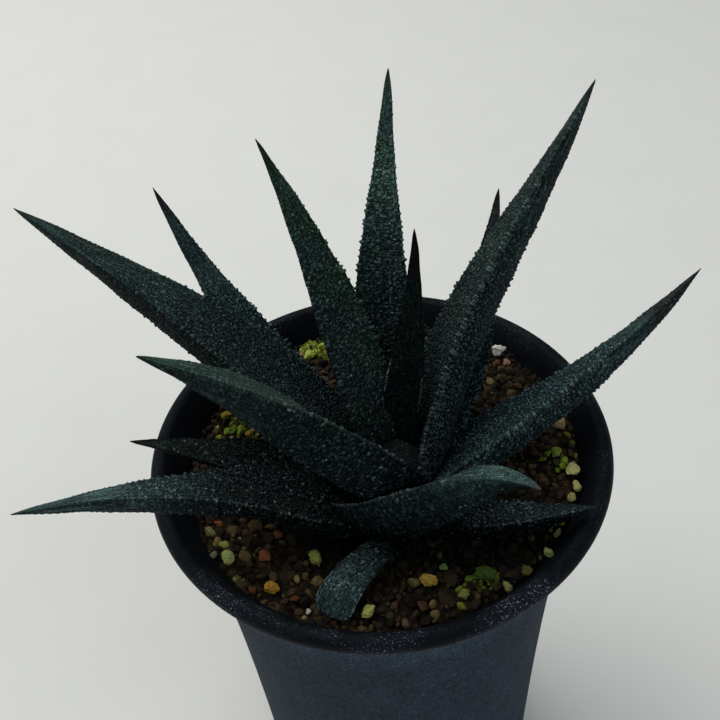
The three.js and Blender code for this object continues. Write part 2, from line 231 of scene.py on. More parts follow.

# Skin of each leaf, lengths in millimetres. step, back_step: mesh spacing along and across, and across the
# back. spacing, height: of the tubercles. stretch: how much wider than long they are. contrast: how much
# lighter they are, as painted light on their tops and painted shade between them. pale: share of them with a
# whitish top. tooth, tooth_stretch: height of the larger ones along the margins, and their width. green,
# light, outer_light, back_light: colour, and how much lighter it is in all, at the end and on the back,
# partly the leaf's own tone and partly painted light and shade. smooth_from, brown_from: share of its length
# where it
# turns smooth, and brown. tip: the tip's colour. dust: whitish marks. streak: lighter streaks along it,
# outwards. base_light, base_length: how light its base is, and up to which share of its length that reaches,
# as older, darker skin and painted shade where the leaves crowd together. under_light: how light it is where
# it faces down, as painted shade underneath. edge: how solid its pale lines are.
# lines: pale lines along a margin or the keel, as the line, its start, its end and how pale it is.
SKIN_DEFAULTS = dict(step=0.22, back_step=0.3, spacing=0.54, stretch=1, height=0.24, contrast=1, pale=0.06,
                     tooth=0.5, tooth_stretch=1.2, green=0.5, light=1, outer_light=1.5, back_light=0.5,
                     smooth_from=0.55, brown_from=0.965, tip="1e191b", dust=1.2, streak=0.5, edge=0.2,
                     base_light=0.4, base_length=0.3, under_light=0.8, lines=())
SKINS = {
    "leaf_01": dict(step=0.2, spacing=0.5, tooth=0.42, green=0.6, light=0.66, outer_light=2.9, streak=0.9,
                    lines=[("left", 0.2, 0.6, 0.5), ("right", 0.25, 0.8, 0.3)]),
    "leaf_02": dict(step=0.25, light=1.25, outer_light=1.8, brown_from=0.9, dust=1.8),
    "leaf_03": dict(height=0.17, contrast=0.7, green=1.9, light=1.15, smooth_from=0.6, dust=1),
    "leaf_04": dict(step=0.2, spacing=0.46, height=0.2, stretch=1.7, contrast=0.8, green=0.9, light=0.92,
                    outer_light=3.7, smooth_from=0.7, dust=3, base_light=0.8),
    "leaf_05": dict(step=0.26, spacing=0.9, height=0.06, contrast=0.15, pale=0, tooth=0.08, green=1.6,
                    light=0.5, outer_light=1, brown_from=0.8, tip="130e13", dust=0.5, edge=1,
                    lines=[("left", 0.03, 0.45, 0.8), ("right", 0.25, 0.4, 0.25)]),
    "leaf_06": dict(step=0.2, back_step=0.22, spacing=0.52, stretch=1.3, tooth_stretch=2.2, outer_light=1.7,
                    back_light=1, green=0.7, streak=0.8, light=0.85, contrast=1.4, dust=2.4,
                    lines=[("right", 0.05, 0.95, 0.9)]),
    "leaf_07": dict(step=0.3, brown_from=0.8, light=1.2),
    "leaf_08": dict(step=0.2, back_step=0.22, light=1.8, outer_light=1.9, dust=3.4, back_light=0.9,
                    tooth=0.4, brown_from=0.8, lines=[("right", 0.3, 0.9, 0.4)]),
    "leaf_09": dict(back_step=0.22, spacing=0.6, stretch=1.5, contrast=0.6, green=1.4, light=1.35,
                    outer_light=2.3, back_light=0.62, pale=0.03, smooth_from=0.4, tooth=0.35, dust=2.2,
                    lines=[("left", 0.15, 0.9, 0.6)]),
    # leaf_10 is painted dark, as painted shade where the leaves above it shadow it.
    "leaf_10": dict(step=0.27, light=0.15, green=0.6, outer_light=3.5),
    "leaf_11": dict(step=0.2, light=0.38, outer_light=10, back_light=0.8, tooth=0.42, dust=1.8, green=0.6,
                    streak=1, base_light=0.45, base_length=0.9, lines=[("left", 0.2, 0.7, 0.9)]),
    "leaf_12": dict(back_step=0.22, height=0.14, contrast=0.5, pale=0.02, stretch=1.8, tooth=0.22,
                    green=0.6, light=1.35, outer_light=3.6, back_light=0.85, under_light=0.05, base_light=0.6,
                    smooth_from=0.35, brown_from=0.97, tip="4d4648", dust=1.8, edge=0.6,
                    lines=[("right", 0, 0.5, 0.5), ("left", 0.36, 0.55, 1)]),
    # leaf_13's base is painted dark, as painted shade where leaf_12's shadow falls.
    "leaf_13": dict(step=0.26, pale=0.12, light=0.85, back_light=0.8, brown_from=1.1, green=0, streak=0.2,
                    base_light=0.1, base_length=0.9, under_light=0.3,
                    lines=[("keel", 0.2, 1, 0.8), ("right", 0.3, 1, 0.8)]),
    # leaf_14 is painted dark along most of its length, as painted shade over its hidden part, lighter at its
    # end.
    "leaf_14": dict(step=0.26, height=0.13, contrast=0.7, tooth=0.14, light=0.16, outer_light=15,
                    back_light=1, smooth_from=1.1, brown_from=1.1, edge=0.7, base_light=0.15, base_length=1,
                    green=0.3, dust=2, lines=[("left", 0.8, 1, 1), ("right", 0.8, 1, 1)]),
}

# Tubercles: how crowded and how uneven their rows are, and the larger ones along the margins and the keel
ROW_CROWDING = 1.05
ROW_JITTER = 0.35
TUBERCLE_RADIUS = 0.56
TOOTH_SPACING = 0.95
TOOTH_RADIUS = 0.5
TOOTH_JITTER = 0.4
TOOTH_START = {"right": 0.06, "left": 0.06, "keel": 0.35}
TOOTH_END = 0.96
LINE_PLACE = {"right": -1, "left": 1}

# Slow waves over a leaf: their height, and how fast each runs along and across
SWELL = 0.05
SWELL_WAVES = [(23, 0), (41, 2), (13, -3)]


def hex_colour(text):
    """Linear red, green, blue and alpha of an sRGB colour written as six hex digits."""
    channels = [int(text[i:i + 2], 16) / 255 for i in (0, 2, 4)]
    return tuple(c / 12.92 if c <= 0.04045 else ((c + 0.055) / 1.055) ** 2.4 for c in channels) + (1,)


def shaded(colour, share):
    """A colour made darker or lighter, as an array."""
    return np.array(colour) * (share, share, share, 1)


def soil_height(x, y):
    """Height of the soil's surface over the pot's base."""
    return POT_HEIGHT - SOIL_DEPTH_BELOW_RIM + SOIL_RISE_RIGHT * x + SOIL_RISE_BACK * y


def placed(name, data):
    """A new object that shows the data."""
    thing = bpy.data.objects.new(name, data)
    bpy.context.scene.collection.objects.link(thing)
    return thing


def mesh_object(name, points, triangles, attributes=None, smooth=True):
    """A mesh object from points in millimetres, with smooth or flat shading."""
    mesh = bpy.data.meshes.new(name)
    triangles = np.asarray(triangles, np.int32)
    mesh.vertices.add(len(points))
    mesh.vertices.foreach_set("co", np.asarray(points, np.float32).ravel() * MM)
    mesh.loops.add(triangles.size)
    mesh.loops.foreach_set("vertex_index", triangles.ravel())
    mesh.polygons.add(len(triangles))
    mesh.polygons.foreach_set("loop_start", np.arange(0, triangles.size, 3, dtype=np.int32))
    mesh.polygons.foreach_set("loop_total", np.full(len(triangles), 3, np.int32))
    mesh.polygons.foreach_set("use_smooth", np.full(len(triangles), smooth))
    for key, values in (attributes or {}).items():
        values = np.asarray(values, np.float32).ravel()
        kind, field = ATTRIBUTE_KINDS[values.size // len(points)]
        mesh.attributes.new(key, kind, "POINT").data.foreach_set(field, values)
    mesh.update(calc_edges=True)
    mesh.validate()
    return placed(name, mesh)


def install(piece, material, node):
    """Gives a piece its material, fixes it to the object and hides the node of the model that it stands in
    for.
    """
    piece.data.materials.append(material)
    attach(piece, "root")
    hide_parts(node)


class Shader:
    """A material's node tree, with one short call for each kind of node. Colours may be six hex digits."""

    def __init__(self, name):
        self.material = bpy.data.materials.new(name)
        self.material.use_nodes = True
        self.tree = self.material.node_tree
        self.place = self.node("ShaderNodeTexCoord", "Object", {})

    def put(self, node, inputs):
        """Sets or links inputs, given by their identifiers."""
        for socket in node.inputs:
            value = inputs.get(socket.identifier)
            if isinstance(value, bpy.types.NodeSocket):
                self.tree.links.new(value, socket)
            elif value is not None:
                socket.default_value = hex_colour(value) if isinstance(value, str) else value

    def node(self, kind, output, inputs, **settings):
        """The output of a new node."""
        made = self.tree.nodes.new(kind)
        for key, value in settings.items():
            setattr(made, key, value)
        self.put(made, inputs)
        return next(socket for socket in made.outputs if socket.identifier == output)

    def noise(self, size, detail=2, roughness=0.5, distortion=0, place=None):
        """Noise from 0 to 1 with features of a size in millimetres."""
        inputs = {"Vector": place or self.place, "Scale": 1 / (size * MM), "Detail": detail,
                  "Roughness": roughness, "Distortion": distortion}
        return self.node("ShaderNodeTexNoise", "Fac", inputs)

    def stretched(self, x, y, z, place=None):
        return self.node("ShaderNodeMapping", "Vector", {"Vector": place or self.place, "Scale": (x, y, z)})

    def coordinate(self, axis):
        return self.node("ShaderNodeSeparateXYZ", axis, {"Vector": self.place})

    def attribute(self, name, output="Fac"):
        return self.node("ShaderNodeAttribute", output, {}, attribute_name=name)

    def calculate(self, operation, a, b=0, c=0):
        inputs = {"Value": a, "Value_001": b, "Value_002": c}
        return self.node("ShaderNodeMath", "Value", inputs, operation=operation)

    def times(self, value, *factors):
        for factor in factors:
            value = self.calculate("MULTIPLY", value, factor)
        return value

    def ramp(self, share, start, end):
        """The start value where the share is 0 and the end value where it is 1, in a straight line."""
        return self.calculate("MULTIPLY_ADD", share, end - start, start)

    def between(self, value, low, high):
        """0 below low, 1 above high and smooth between them. It runs downwards where low is over high."""
        start, end = (1, 0) if low > high else (0, 1)
        inputs = {"Value": value, "From Min": min(low, high), "From Max": max(low, high), "To Min": start,
                  "To Max": end}
        return self.node("ShaderNodeMapRange", "Result", inputs, interpolation_type="SMOOTHSTEP")

    def mix(self, share, a, b):
        """Colour a where the share is 0 and colour b where it is 1."""
        inputs = {"Factor_Float": share, "A_Color": a, "B_Color": b}
        return self.node("ShaderNodeMix", "Result_Color", inputs, data_type="RGBA")

    def tinted(self, colour, share):
        """The colour made darker or lighter by a share that may pass 1."""
        inputs = {"Vector": colour, "Scale": share}
        return self.node("ShaderNodeVectorMath", "Vector", inputs, operation="SCALE")

    def bump(self, height, depth):
        """Relief whose full height is a depth in millimetres."""
        return self.node("ShaderNodeBump", "Normal", {"Height": height, "Distance": depth * MM})

    def finish(self, colour, roughness, specular, relief=None, gloss_tint=None):
        self.put(self.tree.nodes["Principled BSDF"], {
            "Base Color": colour, "Roughness": roughness, "Specular IOR Level": specular, "Normal": relief,
            "Specular Tint": gloss_tint})
        return self.material


# Materials
def leaf_material(name, skin):
    """Dark waxy skin, greener and lighter outwards, with tubercles in painted light and shade, and a brown
    tip.
    """
    shader = Shader(name)
    along = shader.attribute("along")
    back = shader.attribute("back")
    skin_place = shader.attribute("skin_place", "Vector")
    along_rows = shader.stretched(1, 1 / skin["stretch"] ** 2, 1, skin_place)
    fine = shader.noise(0.8, detail=4, roughness=0.7, place=along_rows)

    # Ground and tubercle tops, greener in patches: painted shade between the tubercles, painted light on
    # their tops
    green = shader.calculate("ADD", shader.noise(8), shader.times(along, 0.45))
    green = shader.times(shader.between(green, 0.5, 0.95), shader.ramp(back, 1, 0.4), 0.8 * skin["green"])
    ground = shader.mix(green, "0b1315", "0c1910")
    top = shader.mix(green, "2a3d43", "304b36")
    top_share = shader.times(shader.between(shader.attribute("raised"), 0.2, 1), skin["contrast"])
    colour = shader.mix(top_share, ground, top)
    # Painted glints, mostly on the tubercle tops
    glint = shader.between(shader.noise(0.3, roughness=0.6), 0.54, 0.7)
    colour = shader.mix(shader.times(glint, shader.ramp(top_share, 0.12, 0.62)), colour, "7c9296")

    # Lighter streaks along the outer part
    streak = shader.noise(1.1, detail=3, roughness=0.6, place=shader.stretched(0.12, 1, 1, skin_place))
    streak = shader.times(shader.between(streak, 0.48, 0.66), shader.between(along, 0.42, 0.8),
                          skin["streak"], shader.between(fine, 0.35, 0.6))
    colour = shader.mix(streak, colour, "344644")

    # Light and dark parts: a random tone, older skin and painted shade at the base, painted shade where it
    # faces down
    tone = shader.calculate("MAXIMUM", shader.ramp(fine, -0.65, 2.55), 0.25)
    # Lighter outwards, on the back and in all: partly the leaf's own tone, partly painted light and shade
    outwards = shader.ramp(shader.between(along, 0.4, 0.85), 1, skin["outer_light"])
    from_base = shader.ramp(shader.between(along, 0, skin["base_length"]), skin["base_light"], 1)
    under = shader.ramp(shader.attribute("under"), 1, skin["under_light"])
    on_back = shader.ramp(back, 1, skin["back_light"])
    colour = shader.tinted(colour, shader.times(tone, outwards, from_base, under, on_back, skin["light"]))

    # Brown tip, whitish strokes and whitish tops
    tip = shader.between(along, skin["brown_from"] - 0.03, skin["brown_from"] + 0.05)
    colour = shader.mix(shader.times(tip, 0.75), colour, skin["tip"])
    patch = shader.between(shader.noise(5, detail=3, roughness=0.6), 0.45, 0.7)
    strokes = [shader.noise(0.4, detail=3, roughness=0.6, place=shader.stretched(x, y, 1, skin_place))
               for x, y in ((1, 0.3), (0.3, 1))]
    stroke = shader.between(shader.calculate("MAXIMUM", *strokes), 0.63, 0.71)
    dust = shader.calculate("MINIMUM", shader.times(patch, stroke, 0.5 * skin["dust"]), 0.9)
    colour = shader.mix(dust, colour, "83928f")
    pale = shader.times(shader.attribute("pale"), shader.between(shader.noise(0.35, detail=3), 0.42, 0.58))
    colour = shader.mix(pale, colour, "98a3a4")

    pebbled = shader.calculate("ADD", shader.noise(0.28), shader.times(fine, 0.6))
    return shader.finish(colour, shader.ramp(fine, 0.42, 0.72), specular=0.03,
                         relief=shader.bump(pebbled, 0.07), gloss_tint=(0.72, 0.95, 1, 1))


def pot_material():
    """Moulded plastic: near black, faintly glossy on the lip, dull inside, felt-like and grey outside."""
    shader = Shader("moulded_plastic")
    outside = shader.attribute("outside")

    def by_depth(none_at, full_at):
        """0 at one depth below the rim, 1 at another, and smooth between them."""
        none_at, full_at = (POT_HEIGHT - none_at) * MM, (POT_HEIGHT - full_at) * MM
        return shader.between(shader.coordinate("Z"), none_at, full_at)

    def hairs(size, detail, roughness, distortion, middle, width):
        """Fine curled lines: where a noise lies within a width of its middle."""
        curl = shader.noise(size, detail, roughness, distortion)
        away = shader.calculate("ABSOLUTE", shader.calculate("SUBTRACT", curl, middle))
        return shader.between(away, width, 0)

    # Wall outside: cloudy grey with hairs, lighter under the lip
    cloud = shader.noise(7, detail=4, roughness=0.6)
    grain = shader.noise(0.5, detail=4, roughness=0.7)
    curls = (hairs(1.5, 3, 0.55, 1.6, 0.5, 0.03), hairs(2.3, 3, 0.5, 2.2, 0.47, 0.02))
    curls = shader.calculate("MAXIMUM", *curls)
    wall = shader.mix(shader.between(cloud, 0.3, 0.75), "212b36", "2c3743")
    wall = shader.mix(shader.times(curls, 0.45), wall, "56636f")
    wall = shader.tinted(wall, shader.calculate("MAXIMUM", shader.ramp(grain, -1.25, 3.25), 0.3))
    under_lip = shader.ramp(by_depth(28, 4), 1.1, 1.2)
    wall = shader.tinted(wall, shader.calculate("MULTIPLY_ADD", by_depth(25, 14), 0.55, under_lip))

    # Lip: black, with dust and specks that gather at the front
    inside = by_depth(1.6, 3.6)
    front = shader.ramp(shader.between(shader.coordinate("Y"), -22 * MM, -38 * MM), 0.25, 1)
    dusty = shader.between(shader.noise(12, detail=3), 0.42, 0.75)
    dusty = shader.times(dusty, shader.ramp(inside, 1, 0), front)
    lip = shader.mix(shader.times(dusty, grain, 0.4), "05070c", "36424f")
    speck = shader.between(shader.noise(0.36, detail=3, roughness=0.8), 0.6, 0.66)
    lip = shader.mix(shader.times(speck, shader.ramp(dusty, 0.02, 1.12)), lip, "c3cedb")

    dull = shader.ramp(shader.times(inside, shader.ramp(outside, 1, 0)), 0.6, 0.95)
    roughness = shader.calculate("MULTIPLY_ADD", outside, 0.15, dull)
    relief = shader.bump(shader.calculate("ADD", grain, curls), 0.06)
    return shader.finish(shader.mix(outside, lip, wall), roughness, specular=0.12, relief=relief,
                         gloss_tint=(0.7, 0.85, 1, 1))


def grain_material():
    """Dull fired clay and stone, each grain in a tint of its own, stored on the mesh."""
    shader = Shader("granular_clay")
    fine = shader.noise(0.35, detail=4, roughness=0.7)
    blotch = shader.between(shader.noise(0.9), 0.55, 0.8)
    colour = shader.tinted(shader.attribute("tint", "Color"), shader.ramp(fine, 0.45, 1.55))
    colour = shader.mix(shader.times(blotch, 0.4), colour, "1a1410")
    return shader.finish(colour, 0.85, specular=0.15, relief=shader.bump(fine, 0.35))


def stem_material():
    """Dark, rough, fibrous bases of young leaves, with painted glints along the fibres."""
    shader = Shader("leaf_bases")
    fibre = shader.noise(0.5, detail=4, roughness=0.7, place=shader.stretched(1, 1, 0.6))
    colour = shader.mix(shader.noise(2.5), "0b1112", "131314")
    # Lighter lines along the fibres: painted glints
    colour = shader.mix(shader.between(fibre, 0.54, 0.68), colour, "384549")
    return shader.finish(colour, 0.8, specular=0.08, relief=shader.bump(fibre, 0.4))


def floor_material():
    shader = Shader("pale_floor")
    return shader.finish(shader.mix(shader.noise(30, detail=3), "e0e1dd", "e5e6e2"), 0.8, specular=0.2)


# Shapes shared by several pieces
def rounded(line, times):
    """A line of points with its corners cut, keeping its two ends."""
    for _ in range(times):
        line = np.asarray(line, float)
        cut = np.empty((2 * len(line) - 2, 2))
        cut[0::2] = 0.75 * line[:-1] + 0.25 * line[1:]
        cut[1::2] = 0.25 * line[:-1] + 0.75 * line[1:]
        line = np.vstack([line[:1], cut, line[-1:]])
    return line


def closer(line, step):
    """The same line with points no further apart than a step."""
    points = [line[0]]
    for start, end in zip(line[:-1], line[1:]):
        count = max(1, math.ceil(np.linalg.norm(end - start) / step))
        points += [start + (end - start) * (i + 1) / count for i in range(count)]
    return np.array(points)


def outward(points, triangles):
    """The triangles with their faces pointing out."""
    a, b, c = (points[triangles[:, i]] for i in range(3))
    volume = np.einsum("ij,ij->", a, np.cross(b, c))
    return triangles if volume > 0 else triangles[:, ::-1]


def turned(profile, sides):
    """A closed solid: (radius, height) points that start and end on the axis, turned round +Z."""
    rings = profile[1:-1]
    turn = np.arange(sides) * 2 * math.pi / sides
    x = rings[:, :1] * np.cos(turn)
    y = rings[:, :1] * np.sin(turn)
    z = np.repeat(rings[:, 1:], sides, axis=1)
    ends = [(0, 0, profile[0][1]), (0, 0, profile[-1][1])]
    points = np.vstack([np.stack([x, y, z], 2).reshape(-1, 3), ends])

    here = np.arange(sides)
    ahead = (here + 1) % sides
    triangles = []
    for low in range(0, (len(rings) - 1) * sides, sides):
        high = low + sides
        triangles.append(np.stack([low + here, low + ahead, high + ahead], 1))
        triangles.append(np.stack([low + here, high + ahead, high + here], 1))
    last = (len(rings) - 1) * sides
    triangles.append(np.stack([np.full(sides, len(points) - 2), ahead, here], 1))
    triangles.append(np.stack([last + here, last + ahead, np.full(sides, len(points) - 1)], 1))
    return points, outward(points, np.vstack(triangles))


def smooth_step(value, low, high):
    t = np.clip((value - low) / (high - low), 0, 1)
    return t * t * (3 - 2 * t)


# Leaves
class LeafShape:
    """A leaf's surface: s runs from the base to the tip, and u from the right margin to the left."""

    def __init__(self, leaf):
        self.leaf = leaf
        azimuth, height, distance = leaf["base"]
        turn = math.radians(azimuth)
        self.base = np.array([distance * math.cos(turn), distance * math.sin(turn), height])
        self.tip = np.array(leaf["tip"], float)
        chord = self.tip - self.base
        self.left = np.cross((0, 0, 1), chord)
        self.left /= np.linalg.norm(self.left)
        over = np.cross(chord, self.left)
        over /= np.linalg.norm(over)
        self.near = self.base + chord / 3 + over * leaf["near"][0] + self.left * leaf["near"][1]
        self.far = self.base + chord * 2 / 3 + over * leaf["far"][0] + self.left * leaf["far"][1]
        self.samples = np.linspace(0, 1, SPINE_SAMPLES)
        steps = np.linalg.norm(np.diff(self.spine(self.samples), axis=0), axis=1)
        self.lengths = np.concatenate([[0], np.cumsum(steps)])

    @staticmethod
    def along(profile, s):
        """Value at s on a line through (s, value) pairs, with its corners rounded."""
        at, value = np.array(profile).T
        reach = 0.05 * np.clip((1 - s) / 0.1, 0, 1)
        shifts = np.linspace(-1, 1, 9)
        return np.mean([np.interp(s + reach * shift, at, value) for shift in shifts], axis=0)

    def spine(self, s):
        s = np.asarray(s)[..., None]
        r = 1 - s
        curve = r**3 * self.base + 3 * r * r * s * self.near + 3 * r * s * s * self.far + s**3 * self.tip
        return curve + STEM_PLACE

    def rows(self, step):
        """The s of points a step apart along the spine, from the base to just short of the tip."""
        count = round(self.lengths[-1] / step)
        return np.interp(np.linspace(0, 1, count + 1), self.lengths / self.lengths[-1], self.samples)[:-1]

    def axes(self, s):
        """Unit vectors along the spine, across the leaf to its left, and out of its upper face."""
        t = np.asarray(s)[..., None]
        r = 1 - t
        forward = (r * r * (self.near - self.base) + 2 * r * t * (self.far - self.near)
                   + t * t * (self.tip - self.far))
        forward /= np.linalg.norm(forward, axis=-1, keepdims=True)
        across = self.left - forward * (forward @ self.left)[..., None]
        across /= np.linalg.norm(across, axis=-1, keepdims=True)
        normal = np.cross(forward, across)
        angle = np.radians(self.leaf["roll"] + self.leaf["twist"] * t)
        return (forward, across * np.cos(angle) + normal * np.sin(angle),
                normal * np.cos(angle) - across * np.sin(angle))

    def surface(self, s, u, is_back):
        leaf = self.leaf
        s, u, is_back = np.broadcast_arrays(np.asarray(s, float), u, is_back)
        widths = WITHERED_WIDTH if leaf["withered"] else WIDTH_PROFILE
        thicknesses = WITHERED_THICKNESS if leaf["withered"] else THICKNESS_PROFILE
        clasp_share = np.maximum(0, 1 - s / CLASP_LENGTH)
        width_share = self.along(widths, s ** leaf["taper"]) + leaf["flare"] * clasp_share**FLARE_FALL
        width = leaf["width"] * width_share
        thickness = leaf["thickness"] * self.along(thicknesses, s)
        crown = CROWN_AT_TIP * np.maximum(0, s - CROWN_START)
        hollow = leaf["clasp"] * clasp_share**CLASP_FALL + HOLLOW_AT_BASE * (1 - s) - crown
        face = -hollow * width * (1 - u * u)
        keel = leaf["keel"]
        from_keel = np.abs(u - keel) / np.where(u > keel, 1 - keel, 1 + keel)
        sharpness = KEEL_SHARPNESS * np.clip((s - KEEL_START) / KEEL_LENGTH, 0, 1)
        depth = sharpness * (1 - from_keel) + (1 - sharpness) * np.sqrt(np.maximum(0, 1 - from_keel**2))
        out = np.where(is_back, np.minimum(0, face) - thickness * depth, face)
        _, across, normal = self.axes(s)
        return self.spine(s) + across * (u * width / 2)[..., None] + normal * out[..., None]

    def across(self, rows, is_back):
        """For each row, the length across a face up to each of many points, and those points' u."""
        u = np.linspace(-1, 1, ACROSS_SAMPLES)
        points = self.surface(rows[:, None], u[None, :], is_back)
        steps = np.linalg.norm(np.diff(points, axis=1), axis=2)
        return np.hstack([np.zeros((len(rows), 1)), np.cumsum(steps, axis=1)]), u


def strip_triangles(first, first_at, second, second_at):
    """Triangles between two lines of points, given each line's first index and the shares of its length
    at which its points lie."""
    first_middles = (first_at[1:] + first_at[:-1]) / 2
    second_middles = (second_at[1:] + second_at[:-1]) / 2
    here = first + np.arange(len(first_middles))
    there = second + np.arange(len(second_middles))
    across = second + np.searchsorted(second_middles, first_middles)
    back = first + np.searchsorted(first_middles, second_middles, side="right")
    return np.vstack([np.stack([here, here + 1, across], 1), np.stack([back, there + 1, there], 1)])


def leaf_mesh(shape, step, back_step):
    """Points, triangles, and the s, u and side (0 for the upper face, 1 for the back) of each point."""
    rows = shape.rows(step)
    faces = [shape.across(rows, is_back) for is_back in (False, True)]
    s_all, u_all, side_all, starts, shares = [], [], [], [[], []], [[], []]
    count = 0
    for row, s in enumerate(rows):
        for side, spacing in enumerate((step, back_step)):
            lengths, u = faces[side]
            at = np.linspace(0, 1, max(3, round(lengths[row, -1] / spacing)) + 1)
            s_all.append(np.full(len(at), s))
            u_all.append(np.interp(at * lengths[row, -1], lengths[row], u))
            side_all.append(np.full(len(at), side))
            starts[side].append(count)
            shares[side].append(at)
            count += len(at)

    # The back's points on the two margins are the upper face's
    owner = np.arange(count + 2)
    for upper, back, upper_at, back_at in zip(*starts, *shares):
        owner[back] = upper
        owner[back + len(back_at) - 1] = upper + len(upper_at) - 1

    # Strips between the rows, and a fan at each end
    triangles = []
    for side in (0, 1):
        lines = list(zip(starts[side], shares[side]))
        for line, next_line in zip(lines[:-1], lines[1:]):
            strip = strip_triangles(*line, *next_line)
            triangles.append(strip[:, ::-1] if side else strip)
        for (start, at), apex, is_base in ((lines[0], count, True), (lines[-1], count + 1, False)):
            edge = start + np.arange(len(at))
            fan = np.stack([edge[:-1], edge[1:], np.full(len(edge) - 1, apex)], 1)
            triangles.append(fan[:, ::-1] if is_base != (side == 1) else fan)
    s_all = np.concatenate([*s_all, [0, 1]])
    u_all = np.concatenate([*u_all, [0, 0]])
    side_all = np.concatenate([*side_all, [0, 0]])
    points = shape.surface(s_all, u_all, side_all == 1)
    used, triangles = np.unique(owner[np.vstack(triangles)], return_inverse=True)
    points = points[used]
    return points, outward(points, triangles.reshape(-1, 3)), s_all[used], u_all[used], side_all[used]


def point_normals(points, triangles):
    a, b, c = (points[triangles[:, i]] for i in range(3))
    face = np.cross(b - a, c - a)
    normals = np.zeros_like(points)
    for i in range(3):
        np.add.at(normals, triangles[:, i], face)
    return normals / np.maximum(np.linalg.norm(normals, axis=1), 1e-9)[:, None]


def field_tubercles(shape, skin, is_back, rng):
    """Tubercles in loose rows over one face: arrays of s, u, side, radii, height and paleness."""
    spacing = skin["spacing"]
    rows = shape.rows(spacing)
    lengths, u = shape.across(rows, is_back)
    found = []
    for row, s in enumerate(rows):
        reach = lengths[row, -1]
        count = int(reach / (spacing * skin["stretch"]) * ROW_CROWDING)
        if count < 1:
            continue
        shift = 0.5 + 0.5 * (row % 2)
        shares = (np.arange(count) + shift + rng.uniform(-ROW_JITTER, ROW_JITTER, count)) / (count + 0.5)
        margin = 0.5 * spacing / reach
        shares = shares[(shares > margin) & (shares < 1 - margin)]
        jitter = rng.uniform(-ROW_JITTER, ROW_JITTER, len(shares)) / len(rows)
        found.append(np.stack([np.clip(s + jitter, 0, 1), np.interp(shares * reach, lengths[row], u)], 1))
    s, u_at = np.vstack(found).T
    size = rng.uniform(0.7, 1.15, len(s))
    radius = TUBERCLE_RADIUS * spacing * size
    height = skin["height"] * size * rng.uniform(0.4, 1.3, len(s))
    height *= smooth_step(s, 0.98, 0.82) * smooth_step(s, 0, 0.06)
    height *= 1 - 0.65 * smooth_step(s, skin["smooth_from"], skin["smooth_from"] + 0.3)
    pale = rng.uniform(0, 0.2 * skin["contrast"], len(s))
    pale = np.where(rng.uniform(0, 1, len(s)) < skin["pale"], rng.uniform(0.4, 1, len(s)), pale)
    return s, u_at, np.full(len(s), is_back), radius, radius * skin["stretch"], height, pale


def line_tubercles(shape, skin, line, rng):
    """Larger tubercles in one line along a margin or the keel, as the same arrays."""
    rows = shape.rows(TOOTH_SPACING)
    s = rows[(rows > TOOTH_START[line]) & (rows < TOOTH_END)]
    s = np.clip(s + rng.uniform(-TOOTH_JITTER, TOOTH_JITTER, len(s)) / len(rows), 0, 1)
    size = rng.uniform(0.15, 1.25, len(s)) * (1 - 0.7 * smooth_step(s, 0.45, 0.9))
    height = skin["tooth"] * size * smooth_step(s, 0, 0.08) * smooth_step(s, 0.97, 0.88)
    pale = np.zeros(len(s))
    for which, start, end, strength in skin["lines"]:
        if which == line:
            pale = np.where((s > start) & (s < end), strength * rng.uniform(-0.4, 1, len(s)), pale)
    radius = TOOTH_RADIUS * np.maximum(size, 0.7)
    u = np.full(len(s), LINE_PLACE.get(line, shape.leaf["keel"]))
    is_back = np.full(len(s), line == "keel")
    return s, u, is_back, radius * 0.7, radius * skin["tooth_stretch"], height, np.maximum(pale, 0)


def raise_tubercles(shape, points, normals, tubercles, full_height):
    """How far each point is lifted, how raised and how pale it is, for tubercles given as arrays."""
    s, u, is_back, radius_along, radius_across, height, pale = tubercles
    places = shape.surface(s, u, is_back)
    forward, _, _ = shape.axes(s)
    tree = KDTree(len(points))
    for index, point in enumerate(points):
        tree.insert(point, index)
    tree.balance()
    owner, reached, nearest = [], [], []
    for number, (place, reach) in enumerate(zip(places, np.maximum(radius_along, radius_across))):
        nearest.append(tree.find(place)[1])
        for _, index, _ in tree.find_range(place, reach):
            owner.append(number)
            reached.append(index)
    owner, reached = np.array(owner), np.array(reached)
    offset = points[reached] - places[owner]
    ahead = np.einsum("ij,ij->i", offset, forward[owner])
    aside = np.maximum(0, np.einsum("ij,ij->i", offset, offset) - ahead**2)
    share = np.clip(1 - (ahead / radius_along[owner]) ** 2 - aside / radius_across[owner] ** 2, 0, 1)
    share *= np.einsum("ij,ij->i", normals[reached], normals[np.array(nearest)][owner]) > 0
    lift = np.zeros(len(points))
    np.maximum.at(lift, reached, height[owner] * share)
    top = np.zeros(len(points))
    np.maximum.at(top, reached, pale[owner] * share**3)
    return lift, np.clip(lift / full_height, 0, 1), top


